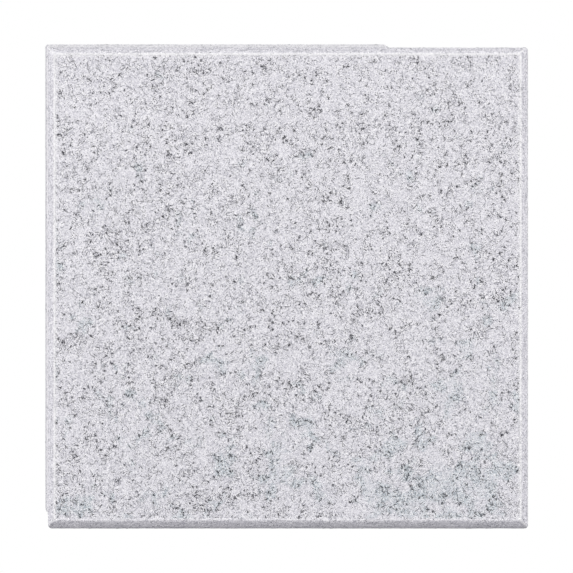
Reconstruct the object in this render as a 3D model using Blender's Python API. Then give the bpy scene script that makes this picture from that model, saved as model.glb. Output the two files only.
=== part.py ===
"""Square acoustic wall panel, pressed from one sheet of polyester felt.

The panel stands upright as it hangs on a wall. Its back lies in the plane y = 0 and its face looks
along -Y, with +X to the right and +Z up. The origin is the middle of the back.

The sheet is sawn to size, and the saw leaves the sides flaring outwards to a thin skirt at the back.
A cutter then bevels the four front edges, which meet in mitres at the corners, and rolls each bevel
over into a narrow crest that stands a little above the face. The skirt has been trimmed off along a
part of the top edge and at the foot of the left edge. Lengths are in metres.
"""

import math

import bmesh
import bpy
from mathutils import Vector

# The sheet, measured over the skirt
PANEL_WIDTH = 0.300
PANEL_HEIGHT = 0.301
FELT_THICKNESS = 0.009

# The bevel round the face, from its foot to the top of the crest, as wide as it shows from the front
BEVEL_WIDTH = 0.0043
BEVEL_DEPTH = 0.0037

# The crest: its height over the face, the width of the roll that leads up to it and of its inner slope
CREST_HEIGHT = 0.00025
CREST_ROLL = 0.0026
CREST_ROLL_STEPS = 6
CREST_DROP = 0.0009
CREST_DROP_STEPS = 4

# The skirt, as far as each side flares out from the foot of the bevel to the back
SKIRT_LEFT = 0.0018
SKIRT_RIGHT = 0.0008
SKIRT_TOP = 0.00225
SKIRT_BOTTOM = 0.0016
SKIRT_STEPS = 4
SKIRT_HOLLOW = 0.35

# Corners, rounded at the skirt and sharper from the bevel inwards
SKIRT_CORNER_RADIUS = 0.0020
BEVEL_CORNER_RADIUS = 0.0009
FACE_CORNER_RADIUS = 0.0004
CORNER_STEPS = 6

# Where the skirt is trimmed off, and how long the slant at the end of each trim is
TOP_TRIM_LENGTH = 0.0860
TOP_TRIM_SLANT = 0.0034
LEFT_TRIM_LENGTH = 0.0095
LEFT_TRIM_SLANT = 0.0020

# Pale silver melange felt, as sRGB shares of one
FELT_COLOUR = (0.812, 0.810, 0.832)
FELT_ROUGHNESS = 0.95
CREASE_SHARPER_THAN = math.radians(24)


def clear_scene():
    """Removes whatever the open file holds."""
    for old in list(bpy.data.objects):
        bpy.data.objects.remove(old, do_unlink=True)


def linear(share):
    """Turns one sRGB channel into linear light."""
    return share / 12.92 if share <= 0.04045 else ((share + 0.055) / 1.055) ** 2.4


def felt_material():
    """Matt polyester felt with a soft sheen from its loose fibre ends."""
    material = bpy.data.materials.new("polyester_felt")
    material.use_nodes = True
    shader = material.node_tree.nodes["Principled BSDF"]
    colour = [linear(share) for share in FELT_COLOUR]
    shader.inputs["Base Color"].default_value = (*colour, 1.0)
    shader.inputs["Roughness"].default_value = FELT_ROUGHNESS
    shader.inputs["Metallic"].default_value = 0.0
    material.diffuse_color = (*colour, 1.0)
    return material


def corner_arc(corner_x, corner_z, radius, start_quarter):
    """Points of a rounded corner, anticlockwise, whose sharp corner would be at corner_x, corner_z."""
    centre_x = corner_x - math.copysign(radius, corner_x)
    centre_z = corner_z - math.copysign(radius, corner_z)
    points = []
    for step in range(CORNER_STEPS + 1):
        angle = math.radians(90) * (start_quarter + step / CORNER_STEPS)
        points.append((centre_x + radius * math.cos(angle), centre_z + radius * math.sin(angle)))
    return points


def outline(flare, inset, radius):
    """One closed outline of the panel, anticlockwise as seen from the front.

    flare is the share of the skirt that stands out at this depth, inset is how far the outline lies
    inside the foot of the bevel, and radius rounds its corners.
    """
    foot_left = SKIRT_LEFT - PANEL_WIDTH / 2
    foot_right = PANEL_WIDTH / 2 - SKIRT_RIGHT
    foot_top = PANEL_HEIGHT / 2 - SKIRT_TOP
    foot_bottom = SKIRT_BOTTOM - PANEL_HEIGHT / 2
    trimmed_left = foot_left + inset
    trimmed_top = foot_top - inset
    left = trimmed_left - flare * SKIRT_LEFT
    right = foot_right - inset + flare * SKIRT_RIGHT
    top = trimmed_top + flare * SKIRT_TOP
    bottom = foot_bottom + inset - flare * SKIRT_BOTTOM
    top_trim_end = PANEL_WIDTH / 2 - TOP_TRIM_LENGTH
    left_trim_end = LEFT_TRIM_LENGTH - PANEL_HEIGHT / 2
    points = corner_arc(right, bottom, radius, 3)
    points += corner_arc(right, trimmed_top, radius, 0)
    points += [(top_trim_end, trimmed_top), (top_trim_end - TOP_TRIM_SLANT, top)]
    points += corner_arc(left, top, radius, 1)
    points += [(left, left_trim_end + LEFT_TRIM_SLANT), (trimmed_left, left_trim_end)]
    points += corner_arc(trimmed_left, bottom, radius, 2)
    return points


def bevel_profile():
    """The bevel and its crest, from the bevel's foot to the face, as (inset, depth).

    The straight bevel rises to the roll, a smooth curve that levels out on top of the crest. From
    there the crest drops in a soft wave to the face.
    """
    foot = Vector((0.0, FELT_THICKNESS - BEVEL_DEPTH))
    top = Vector((BEVEL_WIDTH, FELT_THICKNESS + CREST_HEIGHT))
    aim = top - Vector((CREST_ROLL / 2, 0.0))
    start = aim.lerp(foot, CREST_ROLL / 2 / aim.x)
    points = []
    for step in range(CREST_ROLL_STEPS + 1):
        turn = step / CREST_ROLL_STEPS
        points.append(start.lerp(aim, turn).lerp(aim.lerp(top, turn), turn))
    for step in range(1, CREST_DROP_STEPS + 1):
        turn = step / CREST_DROP_STEPS
        drop = CREST_HEIGHT * (1 - math.cos(math.pi * turn)) / 2
        points.append(top + Vector((CREST_DROP * turn, -drop)))
    return points


def edge_profile():
    """The outlines that the edge is lofted through, from the back to the face, as (depth, outline)."""
    bevel_foot = FELT_THICKNESS - BEVEL_DEPTH
    levels = []
    for step in range(SKIRT_STEPS + 1):
        rise = step / SKIRT_STEPS
        flare = (1 - rise) * (1 - SKIRT_HOLLOW * rise)
        radius = BEVEL_CORNER_RADIUS + flare * (SKIRT_CORNER_RADIUS - BEVEL_CORNER_RADIUS)
        levels.append((bevel_foot * rise, outline(flare, 0.0, radius)))
    for inset, depth in bevel_profile():
        levels.append((depth, outline(0.0, inset, FACE_CORNER_RADIUS)))
    return levels


def felt_panel(material):
    """Lofts the outlines into one closed body and caps it with the flat back and the flat face."""
    shape = bmesh.new()
    rings = []
    for depth, points in edge_profile():
        rings.append([shape.verts.new((x, -depth, z)) for x, z in points])
    for lower, upper in zip(rings, rings[1:]):
        count = len(lower)
        for index in range(count):
            following = (index + 1) % count
            shape.faces.new((lower[index], lower[following], upper[following], upper[index]))
    shape.faces.new(rings[0])
    shape.faces.new(rings[-1])
    bmesh.ops.recalc_face_normals(shape, faces=shape.faces[:])
    mesh = bpy.data.meshes.new("felt_panel")
    shape.to_mesh(mesh)
    shape.free()
    mesh.materials.append(material)
    mesh.shade_smooth()
    mesh.set_sharp_from_angle(angle=CREASE_SHARPER_THAN)
    panel = bpy.data.objects.new("felt_panel", mesh)
    bpy.context.scene.collection.objects.link(panel)
    return panel


clear_scene()
felt_panel(felt_material())
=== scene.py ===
"""Looks of a square acoustic wall panel, pressed from pale melange polyester felt.

The panel is one board. It is modelled here with the soft relief of its nap, its bevelled edges with
their crests and its sawn sides, and with coats of fibre strands: dark tufts and dark, grey and pale
strands. All lengths are in metres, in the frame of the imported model: the back lies in the plane
y = 0, the face looks along -Y and +Z is up.
"""

import logging
import math
from collections.abc import Iterable
from dataclasses import dataclass
from enum import Enum

import bpy
import numpy as np
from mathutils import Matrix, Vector


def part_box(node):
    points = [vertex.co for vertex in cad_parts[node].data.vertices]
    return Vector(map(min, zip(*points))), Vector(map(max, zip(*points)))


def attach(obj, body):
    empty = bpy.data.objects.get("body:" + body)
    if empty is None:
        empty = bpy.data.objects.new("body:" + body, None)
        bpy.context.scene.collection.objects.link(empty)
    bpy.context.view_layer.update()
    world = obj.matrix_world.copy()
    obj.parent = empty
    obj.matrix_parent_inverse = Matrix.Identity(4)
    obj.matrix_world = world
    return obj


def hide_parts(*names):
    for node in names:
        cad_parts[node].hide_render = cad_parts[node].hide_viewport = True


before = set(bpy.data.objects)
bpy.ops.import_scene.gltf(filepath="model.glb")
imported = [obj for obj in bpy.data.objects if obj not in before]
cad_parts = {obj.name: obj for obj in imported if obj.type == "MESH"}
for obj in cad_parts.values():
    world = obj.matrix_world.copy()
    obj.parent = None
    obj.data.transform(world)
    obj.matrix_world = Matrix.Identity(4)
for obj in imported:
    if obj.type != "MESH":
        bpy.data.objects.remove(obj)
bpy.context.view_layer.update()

MM = 0.001
TINY = 1e-9
NODE = "felt_panel"
BODY = "root"
BAKE_MAP = "OFBake"
log = logging.getLogger("felt_panel")

Tree = bpy.types.NodeTree
Outputs = bpy.types.bpy_prop_collection
# A source is an output, or a node whose first output in use is meant.
Source = bpy.types.NodeSocket | bpy.types.Node

# The kinds of the geometry trees' inputs. Any input that is not named here is a Float.
INPUT_KINDS = {
    "Geometry": "Geometry",
    "Region": "String",
    "Seed": "Int",
    "Strands": "Int",
    "Segments": "Int",
    "Material": "Material",
}


class Mark(Enum):
    """The marks on the board's points, each named for the attribute that holds it."""

    FACE = "nap_face"
    EDGE = "nap_edge"
    BACK = "nap_back"
    # How pale the felt is from pressing, with painted light: a painted highlight on the crests, rims and
    # mitres, and painted light and shade on the skirts.
    PRESSED_AND_PAINTED_LIGHT = "pressed_and_painted_light"
    RUN = "edge_run"
    WAY = "edge_way"


class Side(Enum):
    """The four sides of the board, in the order in which its outline is walked."""

    FOOT = 0
    RIGHT = 1
    HEAD = 2
    LEFT = 3


def linear(code: str) -> tuple[float, float, float, float]:
    """Turns an sRGB hex colour into linear light.

    Args:
        code: The colour, such as "#E6E5EA".

    Returns:
        Red, green, blue and alpha.
    """
    shares = [int(code[start : start + 2], 16) / 255 for start in (1, 3, 5)]
    light = [s / 12.92 if s <= 0.04045 else ((s + 0.055) / 1.055) ** 2.4 for s in shares]
    return (light[0], light[1], light[2], 1.0)


def add_node(tree: Tree, kind: str, inputs: dict | tuple = (), **settings: object) -> bpy.types.Node:
    """Adds a node with its settings and links.

    Args:
        tree: The shader or geometry tree that the node goes into.
        kind: The node's type name.
        inputs: What the inputs in use take, by name or in their order. Each takes a plain value or
            is linked to a source.
        settings: The node's own properties.

    Returns:
        The new node.
    """
    node = tree.nodes.new(kind)
    for name, value in settings.items():
        setattr(node, name, value)
    in_use = [socket for socket in node.inputs if socket.enabled]
    for key, value in inputs.items() if isinstance(inputs, dict) else enumerate(inputs):
        socket = in_use[key] if isinstance(key, int) else next(s for s in in_use if s.name == key)
        if isinstance(value, bpy.types.Node):
            value = next(output for output in value.outputs if output.enabled)
        if isinstance(value, bpy.types.NodeSocket):
            tree.links.new(value, socket)
        else:
            socket.default_value = value
    return node


def new_material(name: str) -> bpy.types.Material:
    """Makes a material whose tree is still empty.

    Args:
        name: The material's name.

    Returns:
        The material.
    """
    material = bpy.data.materials.new(name)
    material.use_nodes = True
    material.node_tree.nodes.clear()
    return material


def start_tree(name: str, inputs: Iterable[str]) -> tuple[Tree, Outputs]:
    """Starts a geometry tree that takes a geometry and named values.

    Args:
        name: The tree's name.
        inputs: The names of the values.

    Returns:
        The tree, and what it is given, by name.
    """
    tree = bpy.data.node_groups.new(name, "GeometryNodeTree")
    for label in ("Geometry", *inputs):
        kind = INPUT_KINDS.get(label, "Float")
        tree.interface.new_socket(label, in_out="INPUT", socket_type=f"NodeSocket{kind}")
    tree.interface.new_socket("Geometry", in_out="OUTPUT", socket_type="NodeSocketGeometry")
    return tree, add_node(tree, "NodeGroupInput").outputs


def finish_tree(tree: Tree, geometry: Source, material: Source) -> None:
    """Ends a geometry tree: its instances become real and take their material.

    Args:
        tree: The tree.
        geometry: What it has made.
        material: The material that this takes.
    """
    real = add_node(tree, "GeometryNodeRealizeInstances", {"Geometry": geometry})
    dressed = add_node(tree, "GeometryNodeSetMaterial", {"Geometry": real, "Material": material})
    add_node(tree, "NodeGroupOutput", {"Geometry": dressed})


def evaluated_mesh(source: bpy.types.Object, tree: Tree, values: dict[str, object]) -> bpy.types.Mesh:
    """Runs a geometry tree on an object and keeps the result as a plain mesh.

    Args:
        source: The object that the tree works on.
        tree: The geometry tree.
        values: The value of each named input of the tree.

    Returns:
        The plain mesh. The modifier is gone from the source afterwards.
    """
    modifier = source.modifiers.new(tree.name, "NODES")
    modifier.node_group = tree
    for item in tree.interface.items_tree:
        if item.item_type == "SOCKET" and item.in_out == "INPUT" and item.name in values:
            modifier[item.identifier] = values[item.name]
    graph = bpy.context.evaluated_depsgraph_get()
    made = bpy.data.meshes.new_from_object(source.evaluated_get(graph), depsgraph=graph)
    source.modifiers.remove(modifier)
    return made


def link_object(name: str, data: bpy.types.ID) -> bpy.types.Object:
    """Makes an object at the origin of the scene.

    Args:
        name: The object's name.
        data: The mesh, lamp or lens that it shows.

    Returns:
        The object.
    """
    made = bpy.data.objects.new(name, data)
    bpy.context.scene.collection.objects.link(made)
    return made


def corner_points(mesh: bpy.types.Mesh) -> np.ndarray:
    """Reads which point lies at each corner of each face.

    Args:
        mesh: The mesh.

    Returns:
        The numbers of the points.
    """
    numbers = np.empty(len(mesh.loops), np.int32)
    mesh.loops.foreach_get("vertex_index", numbers)
    return numbers


def write_map(mesh: bpy.types.Mesh, places: np.ndarray) -> None:
    """Writes the texture map that a finished piece carries.

    Args:
        mesh: The piece's mesh.
        places: The place on the map, from 0 to 1 each way, of each corner of each face.
    """
    layer = mesh.uv_layers.new(name=BAKE_MAP)
    layer.uv.foreach_set("vector", places.astype(np.float32).ravel())


@dataclass(frozen=True)
class Pattern:
    """A soft irregular pattern: how wide its patches are, and how ragged and swirled."""

    size: float
    detail: float = 2.0
    roughness: float = 0.6
    swirl: float = 0.0

    def at(self, place: Source) -> dict[str, object]:
        """Gives the inputs of the noise that draws the pattern.

        Args:
            place: The place on the panel, in the unit of the size.

        Returns:
            The inputs by name.
        """
        return {
            "Vector": place,
            "Scale": 1 / self.size,
            "Detail": self.detail,
            "Roughness": self.roughness,
            "Distortion": self.swirl,
        }


# The number round which every such pattern swings.
PATTERN_MIDDLE = 0.5


@dataclass(frozen=True)
class FleckClouds:
    """Where the dark fibre gathers. The same pattern steers the colour and the fibre strands.

    The dark fibre was not carded evenly into the pale one, so it lies in small ragged clumps, a few
    millimetres wide, and there is a little more of it towards the foot of this board.
    """

    clumps: Pattern = Pattern(7.0 * MM, detail=3.0, roughness=0.75, swirl=0.3)
    drift: Pattern = Pattern(40.0 * MM, detail=1.0, roughness=0.5)
    drift_share: float = 0.15
    low: float = 0.41
    high: float = 0.63
    more_at_foot: float = 0.008
    half_height: float = 150.0 * MM

    def density(self, tree: Tree, place: Source) -> Source:
        """Adds the cloud pattern to a shader or geometry tree.

        Args:
            tree: The tree.
            place: The place on the panel, in metres.

        Returns:
            A number from 0, in plain pale felt, to 1, in the middle of a cloud.
        """
        clumps = add_node(tree, "ShaderNodeTexNoise", self.clumps.at(place))
        drift = add_node(tree, "ShaderNodeTexNoise", self.drift.at(place))
        both = add_node(tree, "ShaderNodeMix", (self.drift_share, clumps, drift), data_type="FLOAT")
        upright = add_node(tree, "ShaderNodeSeparateXYZ", (place,)).outputs["Z"]
        slope = -self.more_at_foot / self.half_height
        sloped = add_node(tree, "ShaderNodeMath", (upright, slope, both), operation="MULTIPLY_ADD")
        return add_node(
            tree,
            "ShaderNodeMapRange",
            {"Value": sloped, "From Min": self.low, "From Max": self.high},
            interpolation_type="SMOOTHSTEP",
        )


@dataclass(frozen=True)
class MelangeFelt:
    """Melange polyester felt, needled from dyed staple fibre and pressed hot into a board.

    It gives the eye a matt lilac-grey ground with short dark flecks and pale glints between them, a
    fine grain of crossing fibres and a cooler grey-green haze where more of the dark fibre shows
    through. The sizes are those of the fibre bunches that show at arm's length, because single fibres
    of 0.03 mm are too fine to show.
    """

    pale: str = "#FCFAFF"
    # The dark end of the grain, also the colour of the painted shade on the skirts of the foot and the left
    # side.
    shade: str = "#A2A1AC"
    dark: str = "#1E1E26"
    glint: str = "#FFFEFF"
    cool_haze: str = "#A9BDC4"
    # The pale of felt from pressing, also the colour of the painted highlight on crests, rims and mitres and
    # of the painted light on the skirts of the head and the right side.
    pressed_and_painted_light: str = "#FFFEFF"
    streak: str = "#8E8D97"
    grain_size: float = 0.66 * MM
    grain_reach: float = 0.8
    calm_tone: float = 0.76
    calm_spread: float = 0.62
    mottle: Pattern = Pattern(3.0 * MM)
    mottle_share: float = 0.10
    fleck_length: float = 1.0 * MM
    fleck_width: float = 0.58 * MM
    fleck_turns: tuple[float, ...] = (12.0, 57.0, 101.0, 148.0)
    fleck_reach: float = 0.42
    fleck_fade: float = 0.10
    fleck_contrast: float = 0.6
    fleck_dent: float = 0.6
    edge_share: float = 0.25
    dark_sparse: float = 0.03
    dark_dense: float = 0.32
    glint_sparse: float = 0.22
    glint_dense: float = 0.80
    haze_drift: Pattern = Pattern(14.0 * MM, detail=3.0, roughness=0.55)
    haze_low: float = 0.58
    haze_high: float = 0.70
    haze_share: float = 0.45
    haze_between_clouds: float = 0.25
    haze_at_foot: float = 0.09
    haze_band: tuple[float, float, float] = (74.0 * MM, 0.0, -127.0 * MM)
    haze_band_reach: tuple[float, float, float] = (100.0 * MM, 1.0, 26.0 * MM)
    haze_in_band: float = 0.13
    streak_length: float = 16.0 * MM
    streak_width: float = 1.5 * MM
    streak_pattern: Pattern = Pattern(1.0)
    streak_low: float = 0.50
    streak_high: float = 0.68
    streak_share: float = 0.36
    least_shine: float = 0.6
    bump_height: float = 0.22 * MM
    bump_strength: float = 0.6
    roughness: float = 0.93
    specular: float = 0.25
    sheen: float = 0.10
    clouds: FleckClouds = FleckClouds()

    def material(self) -> bpy.types.Material:
        """Builds the board's material.

        Returns:
            The material.
        """
        material = new_material("melange_polyester_felt")
        tree = material.node_tree
        place = add_node(tree, "ShaderNodeTexCoord").outputs["Object"]
        edge = add_node(tree, "ShaderNodeAttribute", attribute_name=Mark.EDGE.value).outputs["Fac"]
        cloud = self.clouds.density(tree, place)
        tone, relief = self.grain(tree, place)
        dark, light = self.flecks(tree, place, cloud, edge)
        haze = self.haze(tree, place, cloud, edge)
        colour = self.ground(tree, tone, place, cloud)
        for share, code in ((haze, self.cool_haze), (light, self.glint), (dark, self.dark)):
            colour = add_node(tree, "ShaderNodeMix", (share, colour, linear(code)), data_type="RGBA")
        height = add_node(tree, "ShaderNodeMath", (dark, -self.fleck_dent, relief), operation="MULTIPLY_ADD")
        bump = add_node(
            tree,
            "ShaderNodeBump",
            {"Height": height, "Distance": self.bump_height, "Strength": self.bump_strength},
        )
        shader = add_node(
            tree,
            "ShaderNodeBsdfPrincipled",
            {
                "Base Color": self.edge_colour(tree, colour, tone, edge),
                "Roughness": self.roughness,
                "Specular IOR Level": self.specular,
                "Sheen Weight": self.sheen,
                "Normal": bump,
            },
        )
        add_node(tree, "ShaderNodeOutputMaterial", {"Surface": shader})
        return material

    def grain(self, tree: Tree, place: Source) -> tuple[Source, Source]:
        """Adds the fine grain, where the ends of small fibre bunches come up to the surface.

        Args:
            tree: The material's tree.
            place: The place on the panel, in metres.

        Returns:
            The tone of each bunch and its relief, both from 0 to 1.
        """
        bunches = add_node(tree, "ShaderNodeTexVoronoi", {"Vector": place, "Scale": 1 / self.grain_size})
        tone = add_node(tree, "ShaderNodeSeparateColor", (bunches.outputs["Color"],)).outputs["Red"]
        relief = add_node(
            tree,
            "ShaderNodeMapRange",
            {"Value": bunches.outputs["Distance"], "From Min": self.grain_reach, "From Max": 0.0},
        )
        return tone, relief

    def ground(self, tree: Tree, tone: Source, place: Source, cloud: Source) -> Source:
        """Adds the colour of the pale fibre, which is smoother and paler between the clouds.

        Args:
            tree: The material's tree.
            tone: The tone of the grain.
            place: The place on the panel, in metres.
            cloud: The density of the dark fibre, from 0 to 1.

        Returns:
            The colour.
        """
        mottle = add_node(tree, "ShaderNodeTexNoise", self.mottle.at(place))
        spread = add_node(tree, "ShaderNodeMapRange", {"Value": cloud, "To Min": self.calm_spread})
        grained = add_node(tree, "ShaderNodeMix", (spread, self.calm_tone, tone), data_type="FLOAT")
        mixed = add_node(tree, "ShaderNodeMix", (self.mottle_share, grained, mottle), data_type="FLOAT")
        ends = (linear(self.shade), linear(self.pale))
        return add_node(tree, "ShaderNodeMix", (mixed, *ends), data_type="RGBA")

    def haze(self, tree: Tree, place: Source, cloud: Source, edge: Source) -> Source:
        """Adds the share of the cool haze round the dark clumps.

        It lies in small drifts. There are more of them towards the foot, and most in a long band
        along the right half of the foot. The edges have none.

        Args:
            tree: The material's tree.
            place: The place on the panel, in metres.
            cloud: The density of the dark fibre, from 0 to 1.
            edge: 1 on the edges and 0 on the face and the back.

        Returns:
            The share of the haze.
        """
        drifts = add_node(tree, "ShaderNodeTexNoise", self.haze_drift.at(place))
        upright = add_node(tree, "ShaderNodeSeparateXYZ", (place,)).outputs["Z"]
        slope = -self.haze_at_foot / self.clouds.half_height
        sloped = add_node(tree, "ShaderNodeMath", (upright, slope, drifts), operation="MULTIPLY_ADD")
        from_band = add_node(
            tree,
            "ShaderNodeMapping",
            {"Vector": place, "Location": self.haze_band, "Scale": self.haze_band_reach},
            vector_type="TEXTURE",
        )
        in_band = add_node(tree, "ShaderNodeTexGradient", (from_band,), gradient_type="SPHERICAL")
        terms = (in_band.outputs["Fac"], self.haze_in_band, sloped)
        amount = add_node(tree, "ShaderNodeMath", terms, operation="MULTIPLY_ADD")
        share = add_node(
            tree,
            "ShaderNodeMapRange",
            {
                "Value": amount,
                "From Min": self.haze_low,
                "From Max": self.haze_high,
                "To Max": self.haze_share,
            },
            interpolation_type="SMOOTHSTEP",
        )
        gathered = add_node(tree, "ShaderNodeMapRange", {"Value": cloud, "To Min": self.haze_between_clouds})
        off_edge = add_node(tree, "ShaderNodeMapRange", {"Value": edge, "To Min": 1.0, "To Max": 0.0})
        for factor in (gathered, off_edge):
            share = add_node(tree, "ShaderNodeMath", (share, factor), operation="MULTIPLY")
        return share

    def flecks(self, tree: Tree, place: Source, cloud: Source, edge: Source) -> tuple[Source, Source]:
        """Adds the dark flecks and the pale glints, which lie in every direction.

        Each direction has its own field of long cells. Some of the cells hold a dark fleck and some a
        glint, each of its own strength. More of them do so in the clouds, and fewer on the edges.

        Args:
            tree: The material's tree.
            place: The place on the panel, in metres.
            cloud: The density of the dark fibre, from 0 to 1.
            edge: 1 on the edges and 0 on the face and the back.

        Returns:
            The share of the dark fibre and the share of the glints.
        """
        thinning = {"Value": edge, "To Min": 1.0, "To Max": self.edge_share}
        here = add_node(tree, "ShaderNodeMapRange", thinning)
        chances = []
        for sparse, dense in ((self.dark_sparse, self.dark_dense), (self.glint_sparse, self.glint_dense)):
            levels = {"Value": cloud, "To Min": sparse, "To Max": dense}
            chance = add_node(tree, "ShaderNodeMapRange", levels)
            chances.append(add_node(tree, "ShaderNodeMath", (chance, here), operation="MULTIPLY"))
        full = self.fleck_reach - self.fleck_fade
        shares: list[float | Source] = [0.0, 0.0]
        for turn in self.fleck_turns:
            turned = add_node(
                tree,
                "ShaderNodeMapping",
                {
                    "Vector": place,
                    "Location": (turn * MM, 0.0, 0.0),
                    "Rotation": (0.0, math.radians(turn), 0.0),
                    "Scale": (self.fleck_length, self.fleck_length, self.fleck_width),
                },
                vector_type="TEXTURE",
            )
            cells = add_node(tree, "ShaderNodeTexVoronoi", {"Vector": turned, "Scale": 1.0}).outputs
            body = add_node(
                tree,
                "ShaderNodeMapRange",
                {"Value": cells["Distance"], "From Min": self.fleck_reach, "From Max": full},
            )
            lots = add_node(tree, "ShaderNodeSeparateColor", (cells["Color"],)).outputs
            raised = (lots["Green"], self.fleck_contrast)
            strength = add_node(tree, "ShaderNodeMath", raised, operation="POWER")
            strong = add_node(tree, "ShaderNodeMath", (body, strength), operation="MULTIPLY")
            for kind, lot in enumerate((lots["Red"], lots["Blue"])):
                drawn = add_node(tree, "ShaderNodeMath", (lot, chances[kind]), operation="LESS_THAN")
                shown = add_node(tree, "ShaderNodeMath", (strong, drawn), operation="MULTIPLY")
                shares[kind] = add_node(tree, "ShaderNodeMath", (shown, shares[kind]), operation="MAXIMUM")
        return shares[0], shares[1]

    def edge_colour(self, tree: Tree, colour: Source, grain: Source, edge: Source) -> Source:
        """Adds the streaks of the sawn edges, the painted shade and painted light on their skirts, and the
        pale crests, rims and mitres with their painted highlight.

        Args:
            tree: The material's tree.
            colour: The felt's colour so far.
            grain: The fine grain.
            edge: 1 on the edges and 0 on the face and the back.

        Returns:
            The colour with the edges worked in.
        """
        run = add_node(tree, "ShaderNodeAttribute", attribute_name=Mark.RUN.value).outputs["Vector"]
        pressed_and_painted_light = add_node(tree, "ShaderNodeAttribute", attribute_name=Mark.PRESSED_AND_PAINTED_LIGHT.value).outputs["Fac"]
        scale = (1 / self.streak_length, 1 / self.streak_width, 1.0)
        scaled = add_node(tree, "ShaderNodeMapping", {"Vector": run, "Scale": scale})
        streaks = add_node(tree, "ShaderNodeTexNoise", self.streak_pattern.at(scaled))
        streaked = add_node(
            tree,
            "ShaderNodeMapRange",
            {
                "Value": streaks,
                "From Min": self.streak_low,
                "From Max": self.streak_high,
                "To Max": self.streak_share,
            },
        )
        shining = {"Value": grain, "To Min": self.least_shine, "To Max": 1.0}
        shine = add_node(tree, "ShaderNodeMapRange", shining)
        # Painted shade: below 0 the mark mixes the skirt towards the shade colour. Painted light and painted
        # highlight: above 0 it mixes the skirt, rim, crest or mitre towards the pale colour, varied by the
        # grain.
        layers = (
            ((streaked, edge), self.streak),
            ((pressed_and_painted_light, -1.0), self.shade),
            ((pressed_and_painted_light, shine), self.pressed_and_painted_light),
        )
        for factors, code in layers:
            share = add_node(tree, "ShaderNodeMath", factors, operation="MULTIPLY", use_clamp=True)
            colour = add_node(tree, "ShaderNodeMix", (share, colour, linear(code)), data_type="RGBA")
        return colour


@dataclass(frozen=True)
class CutSide:
    """One sawn side: how far its skirt flares out, and the painted light and shade of its skirt, its rim and
    its crest.

    The three marks run from -1, painted shade, to 1, pale felt from pressing with a painted highlight.
    The skirt's own mark is painted light and shade only.
    """

    skirt: float
    painted_flank_light: float
    rim: float
    crest: float


@dataclass
class Level:
    """One outline of the edge: its depth before the back, its points, its part, its pressing and painted
    light.
    """

    depth: float
    ring: np.ndarray
    part: Mark
    pressed_and_painted_light: np.ndarray


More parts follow.
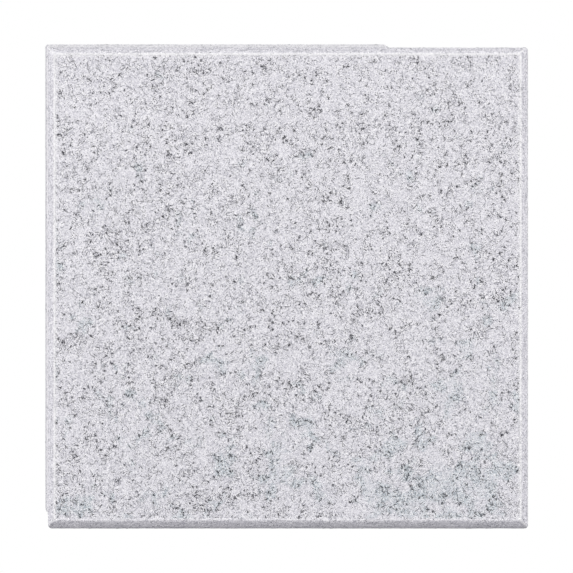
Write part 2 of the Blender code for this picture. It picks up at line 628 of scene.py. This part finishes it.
@dataclass
class Board:
    """The felt board: its soft face and back, its bevel with the rolled crest, and its flared sides.

    The outline is walked once round as a square of points, and each level of the edge places that walk
    on a rectangle with rounded corners. The face and the back are grids on the same walk.
    """

    face_cells: int = 248
    back_cells: int = 62
    bevel_width: float = 4.3 * MM
    bevel_depth: float = 3.7 * MM
    bevel_rows: int = 4
    bevel_corner: float = 0.9 * MM
    face_corner: float = 0.4 * MM
    crest_height: float = 0.25 * MM
    crest_roll: float = 2.6 * MM
    crest_roll_rows: int = 6
    crest_drop: float = 0.9 * MM
    crest_drop_rows: int = 4
    crest_half_width: float = 1.3 * MM
    # Per side, the skirt mark paints shade on the foot and the left and light on the head and the right; the
    # rim and the crest are pale felt with a painted highlight, weakest on the foot.
    sides: tuple[CutSide, ...] = (
        CutSide(1.6 * MM, painted_flank_light=-0.25, rim=0.1, crest=0.3),
        CutSide(0.8 * MM, painted_flank_light=0.7, rim=0.3, crest=1.0),
        CutSide(2.25 * MM, painted_flank_light=0.35, rim=0.5, crest=1.0),
        CutSide(1.8 * MM, painted_flank_light=-0.4, rim=1.0, crest=1.0),
    )
    skirt_rows: int = 4
    skirt_hollow: float = 0.35
    skirt_corner: float = 2.0 * MM
    rim_rise: float = 0.6
    rim_half_rise: float = 0.4
    head_trim: float = 86.0 * MM
    head_slant: float = 3.4 * MM
    left_trim: float = 9.5 * MM
    left_slant: float = 2.0 * MM
    # The mitres at the bevel's corners are pale felt from pressing and carry a painted highlight along the
    # hip line.
    mitre_width: float = 1.2 * MM
    mitre_pressed_and_highlight: float = 0.95
    nap: Pattern = Pattern(3.4 * MM, roughness=0.55)
    nap_height: float = 0.09 * MM
    pucker: Pattern = Pattern(24.0 * MM, roughness=0.55)
    pucker_height: float = 0.10 * MM
    cut: Pattern = Pattern(7.0 * MM)
    cut_wander: float = 0.10 * MM
    map_share: float = 0.66
    map_margin: float = 0.004
    felt: MelangeFelt = MelangeFelt()

    def __post_init__(self) -> None:
        """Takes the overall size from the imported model."""
        low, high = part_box(NODE)
        self.left, self.right = low.x, high.x
        self.foot, self.head = low.z, high.z
        self.thickness = -low.y - self.crest_height

    @property
    def walk_points(self) -> int:
        """The number of points in the walk."""
        return len(Side) * self.face_cells

    def skirt(self, side: Side) -> float:
        """How far the skirt of a side flares out at the back."""
        return self.sides[side.value].skirt

    def walk(self) -> np.ndarray:
        """Walks once round a square from -1 to 1, anticlockwise as seen from the front.

        Returns:
            The points of the walk.
        """
        steps = -1 + 2 * np.arange(self.face_cells) / self.face_cells
        ones = np.ones(self.face_cells)
        sides = [(steps, -ones), (ones, steps), (-steps, ones), (-ones, -steps)]
        return np.concatenate([np.stack(side, 1) for side in sides])

    def ring(self, flare: float, inset: float, radius: float) -> np.ndarray:
        """Places the walk on one outline of the board.

        Args:
            flare: The share of the skirt that stands out at this depth.
            inset: How far the outline lies inside the foot of the bevel.
            radius: The radius of its corners.

        Returns:
            One x and z for each point of the walk.
        """
        walk = self.walk()
        left = self.left + self.skirt(Side.LEFT) * (1 - flare) + inset
        right = self.right - self.skirt(Side.RIGHT) * (1 - flare) - inset
        foot = self.foot + self.skirt(Side.FOOT) * (1 - flare) + inset
        head = self.head - self.skirt(Side.HEAD) * (1 - flare) - inset
        x = left + (walk[:, 0] + 1) / 2 * (right - left)
        z = foot + (walk[:, 1] + 1) / 2 * (head - foot)
        past_trim = np.clip((x - (self.right - self.head_trim - self.head_slant)) / self.head_slant, 0, 1)
        drop = past_trim * flare * self.skirt(Side.HEAD)
        z = np.where(walk[:, 1] > 0, z - drop * walk[:, 1], z)
        past_trim = np.clip((self.foot + self.left_trim + self.left_slant - z) / self.left_slant, 0, 1)
        shift = past_trim * flare * self.skirt(Side.LEFT)
        x = np.where(walk[:, 0] < 0, x - shift * walk[:, 0], x)
        near_x = np.clip(x, left + shift + radius, right - radius)
        near_z = np.clip(z, foot + radius, head - drop - radius)
        away = np.stack([x - near_x, z - near_z], 1)
        length = np.maximum(np.linalg.norm(away, axis=1), TINY)
        round_off = np.minimum(1.0, radius / length)
        return np.stack([near_x + away[:, 0] * round_off, near_z + away[:, 1] * round_off], 1)

    def bevel_profile(self) -> list[tuple[float, float]]:
        """Draws the section of the bevel and its crest.

        Returns:
            The inset and the depth of each row, from above the crease to the face.
        """
        foot = Vector((0.0, self.thickness - self.bevel_depth))
        top = Vector((self.bevel_width, self.thickness + self.crest_height))
        aim = top - Vector((self.crest_roll / 2, 0.0))
        start = aim.lerp(foot, self.crest_roll / 2 / aim.x)
        points = [foot.lerp(start, row / self.bevel_rows) for row in range(1, self.bevel_rows)]
        for row in range(self.crest_roll_rows + 1):
            turn = row / self.crest_roll_rows
            points.append(start.lerp(aim, turn).lerp(aim.lerp(top, turn), turn))
        for row in range(1, self.crest_drop_rows + 1):
            turn = row / self.crest_drop_rows
            drop = self.crest_height * (1 - math.cos(math.pi * turn)) / 2
            points.append(top + Vector((self.crest_drop * turn, -drop)))
        return [(point.x, point.y) for point in points]

    def levels(self) -> list[Level]:
        """Works out the outlines of the edge.

        Returns:
            The levels, from the back to the face.
        """
        # The skirt marks paint shade and light by side; the rim and crest marks are pale felt with a painted
        # highlight.
        painted_flank_lights = np.repeat([side.painted_flank_light for side in self.sides], self.face_cells)
        rims = np.repeat([side.rim for side in self.sides], self.face_cells)
        crests = np.repeat([side.crest for side in self.sides], self.face_cells)
        crease_depth = self.thickness - self.bevel_depth
        levels = []
        for row in range(self.skirt_rows + 1):
            rise = row / self.skirt_rows
            flare = (1 - rise) * (1 - self.skirt_hollow * rise)
            radius = self.bevel_corner + flare * (self.skirt_corner - self.bevel_corner)
            # Painted light and shade on the skirt, with the rim's painted highlight near its upper rows.
            near_rim = max(0.0, 1 - abs(rise - self.rim_rise) / self.rim_half_rise)
            pressed_and_painted_light = (painted_flank_lights + (rims - painted_flank_lights) * near_rim) * (row < self.skirt_rows)
            levels.append(Level(crease_depth * rise, self.ring(flare, 0.0, radius), Mark.EDGE, pressed_and_painted_light))
        for inset, depth in self.bevel_profile():
            # Painted highlight on the crest, with the pale of pressing.
            near_crest = max(0.0, 1 - abs(inset - self.bevel_width) / self.crest_half_width)
            ring = self.ring(0.0, inset, self.face_corner)
            levels.append(Level(depth, ring, Mark.EDGE, crests * near_crest))
        levels[-1].part = Mark.FACE
        return levels

    def face_grid(self, ring: np.ndarray) -> tuple[np.ndarray, np.ndarray]:
        """Fills a ring with the points of an even grid.

        Args:
            ring: The outline of the face, on the walk.

        Returns:
            The inner points as x and z, and for each grid place its number: a walk number, or the
            length of the walk and more for the inner points.
        """
        cells = self.face_cells
        steps = np.arange(cells)
        on_walk = {
            Side.FOOT: (steps, 0),
            Side.RIGHT: (cells, steps),
            Side.HEAD: (cells - steps, cells),
            Side.LEFT: (0, cells - steps),
        }
        numbers = np.empty((cells + 1, cells + 1), int)
        for side, places in on_walk.items():
            numbers[places] = side.value * cells + steps
        inner = np.arange((cells - 1) ** 2).reshape(cells - 1, cells - 1)
        numbers[1:cells, 1:cells] = self.walk_points + inner
        x, z = np.meshgrid(ring[1:cells, 0], ring[cells + 1 : 2 * cells, 1], indexing="ij")
        return np.stack([x.ravel(), z.ravel()], 1), numbers

    def mesh(self) -> bpy.types.Mesh:
        """Builds the closed body of the board, smooth and with its points marked.

        Returns:
            The mesh.
        """
        levels = self.levels()
        inner, numbers = self.face_grid(levels[-1].ring)
        points = [np.insert(level.ring, 1, -level.depth, axis=1) for level in levels]
        points.append(np.insert(inner, 1, -levels[-1].depth, axis=1))
        faces = self.strips(len(levels))
        faces += self.quads(numbers + (len(levels) - 1) * self.walk_points)
        first_back = len(faces)
        back_points, back_faces = self.back(levels[0].ring, sum(len(group) for group in points))
        points.append(back_points)
        faces += back_faces
        places = np.concatenate(points)
        parts = [level.part for level in levels for _ in range(self.walk_points)]
        parts += [Mark.FACE] * len(inner) + [Mark.BACK] * len(back_points)
        # Painted light and shade of the edge levels; the inner face and the back carry none.
        pressed_and_painted_light = np.zeros(len(places))
        pressed_and_painted_light[: len(levels) * self.walk_points] = np.concatenate([level.pressed_and_painted_light for level in levels])
        mesh = bpy.data.meshes.new("felt_board")
        mesh.from_pydata(places.tolist(), [], faces)
        mesh.shade_smooth()
        self.mark(mesh, places, parts, pressed_and_painted_light)
        self.lay_out(mesh, places, first_back)
        return mesh

    def strips(self, rows: int) -> list[tuple[int, ...]]:
        """Joins each level of the edge to the next.

        Args:
            rows: The number of levels.

        Returns:
            The faces between them.
        """
        count = self.walk_points
        faces = []
        for row in range(rows - 1):
            low, high = row * count, (row + 1) * count
            for index in range(count):
                following = (index + 1) % count
                faces.append((low + index, low + following, high + following, high + index))
        return faces

    @staticmethod
    def quads(numbers: np.ndarray) -> list[tuple[int, ...]]:
        """Joins a grid of points, first axis along X and second axis up, to faces that look along -Y."""
        corners = (numbers[:-1, :-1], numbers[1:, :-1], numbers[1:, 1:], numbers[:-1, 1:])
        return list(zip(*(corner.ravel().tolist() for corner in corners)))

    def back(self, ring: np.ndarray, start: int) -> tuple[np.ndarray, list[tuple[int, ...]]]:
        """Closes the back with a coarser grid inside a border of many-sided faces.

        Args:
            ring: The outline of the back, on the walk.
            start: The number of the next point.

        Returns:
            The new points, and the faces that look along +Y.
        """
        cells, step = self.back_cells, self.face_cells // self.back_cells
        low, high = ring.min(0), ring.max(0)
        margin = 1 / cells
        shares = margin + (1 - 2 * margin) * np.arange(cells - 1) / (cells - 2)
        columns, rows = (start_at + shares * (end_at - start_at) for start_at, end_at in zip(low, high))
        x, z = np.meshgrid(columns, rows, indexing="ij")
        points = np.stack([x.ravel(), np.zeros(x.size), z.ravel()], 1)
        numbers = start + np.arange(x.size).reshape(x.shape)
        faces = [face[::-1] for face in self.quads(numbers)]
        last = cells - 2
        rim = [numbers[:, 0], numbers[last, :], numbers[::-1, last], numbers[0, ::-1]]
        for side, inner in enumerate(rim):
            for cell in range(cells):
                first = side * self.face_cells + cell * step
                outer = [(first + k) % self.walk_points for k in range(step + 1)]
                near = int(inner[min(max(cell - 1, 0), last)])
                far = int(inner[min(cell, last)])
                border = outer + ([near] if near == far else [far, near])
                faces.append(tuple(border[::-1]))
        return points, faces

    def mark(self, mesh: bpy.types.Mesh, places: np.ndarray, parts: list[Mark], pressed_and_painted_light: np.ndarray) -> None:
        """Writes the point attributes that the material and the fibre coats read.

        Args:
            mesh: The board's mesh.
            places: Its points.
            parts: The part of the surface that each point belongs to.
            pressed_and_painted_light: How pale the felt is from pressing at each point, and its painted
                light and shade.
        """
        off_x = places[:, 0] - (self.left + self.right) / 2
        off_z = places[:, 2] - (self.foot + self.head) / 2
        surfaces = (Mark.FACE, Mark.EDGE, Mark.BACK)
        areas = {area: np.array([part is area for part in parts]) for area in surfaces}
        on_bevel = areas[Mark.EDGE] & (-places[:, 1] > self.thickness - self.bevel_depth)
        # The mitre lines get a painted highlight with the pale of pressing, where the mark is not already
        # set.
        mitre = np.clip(1 - np.abs(np.abs(off_x) - np.abs(off_z)) / self.mitre_width, 0, 1) * on_bevel
        numbers = areas | {Mark.PRESSED_AND_PAINTED_LIGHT: pressed_and_painted_light + self.mitre_pressed_and_highlight * mitre * (1 - pressed_and_painted_light)}
        for mark, values in numbers.items():
            attribute = mesh.attributes.new(mark.value, "FLOAT", "POINT")
            attribute.data.foreach_set("value", values.astype(np.float32))
        upright = np.abs(off_x) > np.abs(off_z)
        along = np.where(upright, places[:, 2], places[:, 0])
        across = np.where(upright, np.abs(off_x), np.abs(off_z)) + places[:, 1]
        # Each side has a number of its own here, so that its streaks differ from those of the others.
        side = np.where(upright, np.sign(off_x), 2 * np.sign(off_z))
        vectors = {
            Mark.RUN: np.stack([along, across, side], 1),
            Mark.WAY: np.stack([1.0 - upright, np.zeros(len(places)), upright], 1),
        }
        for mark, values in vectors.items():
            attribute = mesh.attributes.new(mark.value, "FLOAT_VECTOR", "POINT")
            attribute.data.foreach_set("vector", values.astype(np.float32).ravel())

    def lay_out(self, mesh: bpy.types.Mesh, places: np.ndarray, first_back: int) -> None:
        """Writes the board's map: the face with its edges folded flat, and the back above it.

        Args:
            mesh: The board's mesh.
            places: Its points.
            first_back: The number of the first face of the back.
        """
        middle = np.array([(self.left + self.right) / 2, (self.foot + self.head) / 2])
        off = places[:, [0, 2]] - middle
        reach = np.array([self.right - self.left, self.head - self.foot]) / 2
        behind = self.thickness + places[:, 1]
        outwards = off / np.maximum(np.abs(off).max(1, keepdims=True), TINY)
        folded = (off + outwards * np.maximum(behind, 0.0)[:, None]) / (reach + self.thickness)
        plain = off / reach
        corners = corner_points(mesh)
        totals = np.empty(len(mesh.polygons), np.int32)
        mesh.polygons.foreach_get("loop_total", totals)
        on_back = np.repeat(np.arange(len(totals)) >= first_back, totals)
        share = (np.where(on_back[:, None], plain[corners], folded[corners]) + 1) / 2
        low = np.where(on_back, self.map_share, 0.0) + self.map_margin
        high = np.where(on_back, 1.0, self.map_share) - self.map_margin
        across = self.map_margin + share[:, 0] * (1 - 2 * self.map_margin)
        write_map(mesh, np.stack([across, low + share[:, 1] * (high - low)], 1))

    def nap_tree(self, inputs: Iterable[str]) -> Tree:
        """Builds the geometry tree that raises the nap and lets the cut edges wander.

        Args:
            inputs: The names of the tree's inputs.

        Returns:
            The tree.
        """
        tree, given = start_tree("felt_nap", inputs)
        position = add_node(tree, "GeometryNodeInputPosition")
        normal = add_node(tree, "GeometryNodeInputNormal")
        lift: float | Source = 0.0
        for pattern, height in ((self.nap, given["Nap Height"]), (self.pucker, given["Pucker Height"])):
            noise = add_node(tree, "ShaderNodeTexNoise", pattern.at(position))
            centred = add_node(tree, "ShaderNodeMath", (noise, PATTERN_MIDDLE), operation="SUBTRACT")
            lift = add_node(tree, "ShaderNodeMath", (centred, height, lift), operation="MULTIPLY_ADD")
        raised = add_node(tree, "ShaderNodeVectorMath", (normal, lift), operation="SCALE")
        wander = add_node(tree, "ShaderNodeTexNoise", self.cut.at(position)).outputs["Color"]
        swing = add_node(tree, "ShaderNodeVectorMath", (wander, (PATTERN_MIDDLE,) * 3), operation="SUBTRACT")
        edge = add_node(tree, "GeometryNodeInputNamedAttribute", (Mark.EDGE.value,), data_type="FLOAT")
        amount = add_node(tree, "ShaderNodeMath", (edge, given["Cut Wander"]), operation="MULTIPLY")
        strayed = add_node(tree, "ShaderNodeVectorMath", (swing, amount), operation="SCALE")
        offset = add_node(tree, "ShaderNodeVectorMath", (raised, strayed), operation="ADD")
        moved = add_node(tree, "GeometryNodeSetPosition", {"Geometry": given["Geometry"], "Offset": offset})
        finish_tree(tree, moved, given["Material"])
        return tree

    def build(self) -> bpy.types.Object:
        """Builds the finished board and dresses it.

        Returns:
            The board as one piece, at the origin.
        """
        rough = link_object("felt_board_rough", self.mesh())
        values = {
            "Nap Height": 2 * self.nap_height,
            "Pucker Height": 2 * self.pucker_height,
            "Cut Wander": 2 * self.cut_wander,
            "Material": self.felt.material(),
        }
        board = link_object("felt_board", evaluated_mesh(rough, self.nap_tree(values), values))
        bpy.data.objects.remove(rough, do_unlink=True)
        return board


@dataclass(frozen=True)
class StapleFibre:
    """Dyed polyester staple fibre, spun round and smooth, so that it is a little glossier than the felt.

    Its colour drifts softly from strand to strand, because each dye lot takes differently.
    """

    name: str
    colour: str
    other_colour: str
    drift: Pattern = Pattern(2.5 * MM, detail=1.0, roughness=0.5)
    drift_low: float = 0.35
    drift_high: float = 0.65
    roughness: float = 0.55
    specular: float = 0.4

    def material(self) -> bpy.types.Material:
        """Builds the fibre's material.

        Returns:
            The material.
        """
        material = new_material(self.name)
        tree = material.node_tree
        place = add_node(tree, "ShaderNodeTexCoord").outputs["Object"]
        drift = add_node(tree, "ShaderNodeTexNoise", self.drift.at(place))
        share = add_node(
            tree,
            "ShaderNodeMapRange",
            {"Value": drift, "From Min": self.drift_low, "From Max": self.drift_high},
        )
        ends = (linear(self.colour), linear(self.other_colour))
        colour = add_node(tree, "ShaderNodeMix", (share, *ends), data_type="RGBA")
        shader = add_node(
            tree,
            "ShaderNodeBsdfPrincipled",
            {"Base Color": colour, "Roughness": self.roughness, "Specular IOR Level": self.specular},
        )
        add_node(tree, "ShaderNodeOutputMaterial", {"Surface": shader})
        return material


@dataclass(frozen=True)
class FibreCoat:
    """One kind of loose fibre on the board: curled strands that lie on the felt and dip into it."""

    name: str
    fibre: StapleFibre
    where: Mark
    per_square_metre: float
    seed: int
    strands: int = 1
    spread: float = 0.0
    length: float = 2.4 * MM
    least_scale: float = 0.65
    most_scale: float = 1.35
    thickness: float = 0.14 * MM
    corners: int = 3
    lift: float = 0.10 * MM
    sink: float = 0.10 * MM
    curl: float = 0.7 * MM
    curl_off_felt: float = 0.25
    curl_pattern: Pattern = Pattern(1.4 * MM, detail=0.0, roughness=0.5)
    spin: float = 180.0
    in_clouds: float = 0.6
    gathering: float = 1.0
    segments: int = 5
    spread_seed: int = 11
    spin_seed: int = 12
    scale_seed: int = 13
    clouds: FleckClouds = FleckClouds()

    def values(self) -> dict[str, object]:
        """Gathers the values for the named inputs of the tree.

        Returns:
            The values by name.
        """
        return {
            "Region": self.where.value,
            "Density": self.per_square_metre,
            "In Clouds": self.in_clouds,
            "Gathering": self.gathering,
            "Seed": self.seed,
            "Strands": self.strands,
            "Spread": self.spread,
            "Length": self.length,
            "Lift": self.lift,
            "Sink": self.sink,
            "Segments": self.segments,
            "Spin": math.radians(self.spin),
            "Curl": self.curl,
            "Radius": self.thickness / 2,
            "Material": self.fibre.material(),
        }

    def tree(self, inputs: Iterable[str]) -> Tree:
        """Builds the geometry tree that grows the coat on a board.

        Args:
            inputs: The names of the tree's inputs.

        Returns:
            The tree.
        """
        tree, given = start_tree("fibre_coat", inputs)
        points, turn = self.roots(tree, given)
        strands = self.strand_curves(tree, given, points, turn)
        size = {"Resolution": self.corners, "Radius": given["Radius"]}
        profile = add_node(tree, "GeometryNodeCurvePrimitiveCircle", size)
        body = add_node(
            tree,
            "GeometryNodeCurveToMesh",
            {"Curve": strands, "Profile Curve": profile, "Fill Caps": True},
        )
        smooth = add_node(tree, "GeometryNodeSetShadeSmooth", {"Geometry": body})
        finish_tree(tree, smooth, given["Material"])
        return tree

    def roots(self, tree: Tree, given: Outputs) -> tuple[Source, Source]:
        """Scatters the middles of the strands over the coat's part of the board.

        Args:
            tree: The coat's tree.
            given: The tree's inputs.

        Returns:
            The points, and the turn that lays a strand flat on the felt at each.
        """
        cloud = self.clouds.density(tree, add_node(tree, "GeometryNodeInputPosition"))
        gathered = add_node(tree, "ShaderNodeMath", (cloud, given["Gathering"]), operation="POWER")
        share = add_node(tree, "ShaderNodeMix", (given["In Clouds"], 1.0, gathered), data_type="FLOAT")
        density = add_node(tree, "GeometryNodeInputNamedAttribute", (given["Region"],), data_type="FLOAT")
        for factor in (share, given["Density"]):
            density = add_node(tree, "ShaderNodeMath", (density, factor), operation="MULTIPLY")
        scattered = add_node(
            tree,
            "GeometryNodeDistributePointsOnFaces",
            {"Mesh": given["Geometry"], "Density": density, "Seed": given["Seed"]},
        )
        on_felt = scattered.outputs["Rotation"]
        bunched = add_node(
            tree,
            "GeometryNodeDuplicateElements",
            {"Geometry": scattered, "Amount": given["Strands"]},
            domain="POINT",
        )
        flat = add_node(
            tree,
            "FunctionNodeRandomValue",
            {"Min": (-1.0, -1.0, 0.0), "Max": (1.0, 1.0, 0.0), "Seed": self.spread_seed},
            data_type="FLOAT_VECTOR",
        )
        sized = add_node(tree, "ShaderNodeVectorMath", (flat, given["Spread"]), operation="SCALE")
        laid = add_node(tree, "FunctionNodeRotateVector", {"Vector": sized, "Rotation": on_felt})
        spread = add_node(tree, "GeometryNodeSetPosition", {"Geometry": bunched, "Offset": laid})
        way = add_node(tree, "GeometryNodeInputNamedAttribute", (Mark.WAY.value,), data_type="FLOAT_VECTOR")
        aligned = add_node(
            tree,
            "FunctionNodeAlignRotationToVector",
            {"Rotation": on_felt, "Vector": way},
            axis="X",
            pivot_axis="Z",
        )
        least = add_node(tree, "ShaderNodeMath", (given["Spin"], -1.0), operation="MULTIPLY")
        angle = add_node(
            tree,
            "FunctionNodeRandomValue",
            {"Min": least, "Max": given["Spin"], "Seed": self.spin_seed},
            data_type="FLOAT",
        )
        spun = add_node(tree, "FunctionNodeAxisAngleToRotation", {"Axis": (0.0, 0.0, 1.0), "Angle": angle})
        turn = add_node(
            tree,
            "FunctionNodeRotateRotation",
            {"Rotation": aligned, "Rotate By": spun},
            rotation_space="LOCAL",
        )
        return spread, turn

    def strand_curves(self, tree: Tree, given: Outputs, points: Source, turn: Source) -> Source:
        """Puts an arched line on each point and curls it, each strand in its own way.

        Args:
            tree: The coat's tree.
            given: The tree's inputs.
            points: The middles of the strands.
            turn: How each strand is turned.

        Returns:
            The curled curves.
        """
        down = add_node(tree, "ShaderNodeMath", (given["Sink"], -1.0), operation="MULTIPLY")
        ends = []
        for share in (-0.5, 0.5):
            reach = add_node(tree, "ShaderNodeMath", (given["Length"], share), operation="MULTIPLY")
            ends.append(add_node(tree, "ShaderNodeCombineXYZ", {"X": reach, "Z": down}))
        # The line rises only half as high as its middle point stands over its ends.
        rise = (given["Lift"], 2.0, given["Sink"])
        arch = add_node(tree, "ShaderNodeMath", rise, operation="MULTIPLY_ADD")
        middle = add_node(tree, "ShaderNodeCombineXYZ", {"Z": arch})
        line = add_node(
            tree,
            "GeometryNodeCurveQuadraticBezier",
            {"Resolution": given["Segments"], "Start": ends[0], "Middle": middle, "End": ends[1]},
        )
        scale = add_node(
            tree,
            "FunctionNodeRandomValue",
            {"Min": self.least_scale, "Max": self.most_scale, "Seed": self.scale_seed},
            data_type="FLOAT",
        )
        placed = add_node(
            tree,
            "GeometryNodeInstanceOnPoints",
            {"Points": points, "Instance": line, "Rotation": turn, "Scale": scale},
        )
        real = add_node(tree, "GeometryNodeRealizeInstances", {"Geometry": placed})
        position = add_node(tree, "GeometryNodeInputPosition")
        strand = add_node(tree, "GeometryNodeCurveOfPoint")
        noise = add_node(
            tree,
            "ShaderNodeTexNoise",
            self.curl_pattern.at(position) | {"W": strand},
            noise_dimensions="4D",
        )
        swing = add_node(
            tree,
            "ShaderNodeVectorMath",
            (noise.outputs["Color"], (PATTERN_MIDDLE,) * 3),
            operation="SUBTRACT",
        )
        shape = (1.0, self.curl_off_felt, 1.0)
        flat = add_node(tree, "ShaderNodeVectorMath", (swing, shape), operation="MULTIPLY")
        sized = add_node(tree, "ShaderNodeVectorMath", (flat, given["Curl"]), operation="SCALE")
        return add_node(tree, "GeometryNodeSetPosition", {"Geometry": real, "Offset": sized})

    def build(self, board: bpy.types.Object) -> bpy.types.Object:
        """Grows the coat on the board.

        Args:
            board: The finished board.

        Returns:
            The coat as one piece, at the origin.
        """
        carrier = link_object("coat_carrier", board.data.copy())
        values = self.values()
        coat = link_object(self.name, evaluated_mesh(carrier, self.tree(values), values))
        bpy.data.objects.remove(carrier, do_unlink=True)
        for layer in list(coat.data.uv_layers):
            coat.data.uv_layers.remove(layer)
        places = np.empty(3 * len(coat.data.vertices))
        coat.data.vertices.foreach_get("co", places)
        low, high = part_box(NODE)
        across = places.reshape(-1, 3)[corner_points(coat.data)][:, [0, 2]]
        reach = np.array([high.x - low.x, high.z - low.z]) + 2 * self.length
        write_map(coat.data, 0.5 + across / reach)
        return coat


DARK_FIBRE = StapleFibre("charcoal_polyester_fibre", "#1D1D25", "#363641")
GREY_FIBRE = StapleFibre("grey_polyester_fibre", "#8E9199", "#ABADB3")
PALE_FIBRE = StapleFibre("white_polyester_fibre", "#F6F5F9", "#E9E8EE", specular=0.5)

COATS = (
    FibreCoat(
        "dark_tufts",
        DARK_FIBRE,
        Mark.FACE,
        per_square_metre=78000,
        seed=3,
        strands=3,
        spread=0.22 * MM,
        length=2.0 * MM,
        thickness=0.235 * MM,
        curl=1.2 * MM,
        in_clouds=1.0,
        gathering=2.2,
    ),
    FibreCoat(
        "dark_fibres",
        DARK_FIBRE,
        Mark.FACE,
        per_square_metre=105000,
        seed=5,
        length=3.4 * MM,
        thickness=0.16 * MM,
        curl=1.4 * MM,
        in_clouds=0.85,
        gathering=1.3,
    ),
    FibreCoat(
        "grey_fibres",
        GREY_FIBRE,
        Mark.FACE,
        per_square_metre=66000,
        seed=7,
        length=2.7 * MM,
        thickness=0.17 * MM,
        in_clouds=0.0,
    ),
    FibreCoat(
        "pale_fibres",
        PALE_FIBRE,
        Mark.FACE,
        per_square_metre=56000,
        seed=9,
        length=3.2 * MM,
        thickness=0.20 * MM,
        in_clouds=0.0,
        segments=6,
    ),
    FibreCoat(
        "back_fibres",
        DARK_FIBRE,
        Mark.BACK,
        per_square_metre=20000,
        seed=15,
        lift=0.02 * MM,
        curl=0.5 * MM,
        in_clouds=0.5,
    ),
    FibreCoat(
        "edge_fibres",
        GREY_FIBRE,
        Mark.EDGE,
        per_square_metre=90000,
        seed=13,
        length=2.2 * MM,
        thickness=0.13 * MM,
        lift=0.06 * MM,
        curl=0.4 * MM,
        spin=28.0,
        in_clouds=0.0,
        segments=4,
    ),
)


@dataclass(frozen=True)
class Softbox:
    """A square soft lamp that looks at the panel.

    The share is the part of plain light that it gives a surface that faces it.
    """

    name: str
    place: tuple[float, float, float]
    size: float
    share: float

    def build(self) -> None:
        """Adds the lamp to the scene."""
        light = bpy.data.lights.new(self.name, "AREA")
        light.size = self.size
        # Matt white that faces the lamp then shows the share of full white, however far off it is.
        light.energy = self.share * (math.pi * Vector(self.place).length) ** 2
        lamp = link_object(self.name, light)
        lamp.location = self.place
        lamp.rotation_euler = (-Vector(self.place)).to_track_quat("-Z", "Y").to_euler()


@dataclass(frozen=True)
class Studio:
    """A plain pale floor, soft lamps on both sides, above and behind, and the camera in front."""

    camera_distance: float = 3.0
    frame_width: float = 356.3 * MM
    sensor: float = 36.0
    sight_end: float = 100.0
    aim_right: float = -0.16 * MM
    aim_up: float = -0.03 * MM
    floor_level: float = -0.30
    floor_radius: float = 1.1
    floor_corners: int = 96
    floor_colour: str = "#F0F0F1"
    floor_bounce: str = "#ABABAD"
    floor_roughness: float = 0.8
    sky_light: float = 0.293
    softboxes: tuple[Softbox, ...] = (
        Softbox("left_softbox", (-1.5, -0.75, 0.15), size=0.9, share=0.585),
        Softbox("right_softbox", (1.5, -0.75, 0.15), size=0.9, share=0.515),
        Softbox("overhead_softbox", (0.0, -0.9, 1.5), size=1.0, share=0.40),
        Softbox("rear_softbox", (0.0, 1.8, 1.0), size=0.8, share=0.55),
    )

    def camera(self) -> None:
        """Places the camera level with the middle of the panel and as far off as a product photographer."""
        lens = bpy.data.cameras.new("camera")
        lens.sensor_width = self.sensor
        lens.lens = self.sensor * self.camera_distance / self.frame_width
        lens.clip_end = self.sight_end
        camera = link_object("camera", lens)
        camera.location = (self.aim_right, -self.camera_distance, self.aim_up)
        camera.rotation_euler = (math.radians(90), 0.0, 0.0)
        bpy.context.scene.camera = camera

    def seen(self, tree: Tree) -> Source:
        """Adds a switch that is 1 for what the camera sees, straight or in a reflection or glass.

        Args:
            tree: The tree of the world or of a material.

        Returns:
            The switch.
        """
        path = add_node(tree, "ShaderNodeLightPath").outputs
        seen = path["Is Camera Ray"]
        for way in ("Is Glossy Ray", "Is Transmission Ray"):
            seen = add_node(tree, "ShaderNodeMath", (seen, path[way]), operation="MAXIMUM")
        return seen

    def world(self) -> None:
        """Shows the camera a white background and lights the panel with a softer sky."""
        world = bpy.data.worlds.new("studio")
        world.use_nodes = True
        tree = world.node_tree
        tree.nodes.clear()
        levels = {"Value": self.seen(tree), "To Min": self.sky_light, "To Max": 1.0}
        strength = add_node(tree, "ShaderNodeMapRange", levels)
        white = {"Color": (1.0, 1.0, 1.0, 1.0), "Strength": strength}
        background = add_node(tree, "ShaderNodeBackground", white)
        add_node(tree, "ShaderNodeOutputWorld", {"Surface": background})
        bpy.context.scene.world = world

    def floor(self) -> None:
        """Lays a round floor below the panel. It looks pale, takes the shadow and throws little light up."""
        bpy.ops.mesh.primitive_circle_add(
            vertices=self.floor_corners,
            radius=self.floor_radius,
            fill_type="NGON",
            location=(0.0, 0.0, self.floor_level),
        )
        floor = bpy.context.object
        floor.name = "floor"
        material = new_material("floor_paint")
        tree = material.node_tree
        ends = (linear(self.floor_bounce), linear(self.floor_colour))
        colour = add_node(tree, "ShaderNodeMix", (self.seen(tree), *ends), data_type="RGBA")
        paint = {"Base Color": colour, "Roughness": self.floor_roughness}
        shader = add_node(tree, "ShaderNodeBsdfPrincipled", paint)
        add_node(tree, "ShaderNodeOutputMaterial", {"Surface": shader})
        floor.data.materials.append(material)

    def build(self) -> None:
        """Builds the whole studio."""
        self.camera()
        self.world()
        self.floor()
        for softbox in self.softboxes:
            softbox.build()
        bpy.context.scene.view_settings.view_transform = "Standard"


def bind(piece: bpy.types.Object) -> None:
    """Makes a piece move with the panel's body, and reports its triangles.

    Args:
        piece: The finished piece.
    """
    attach(piece, BODY)
    piece.data.calc_loop_triangles()
    log.info("%s: %d triangles", piece.name, len(piece.data.loop_triangles))


def main() -> None:
    """Builds the studio, the board and its coats of fibre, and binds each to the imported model."""
    logging.basicConfig(level=logging.INFO, format="%(message)s")
    Studio().build()
    board = Board().build()
    bind(board)
    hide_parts(NODE)
    for coat in COATS:
        bind(coat.build(board))


if __name__ == "__main__":
    main()
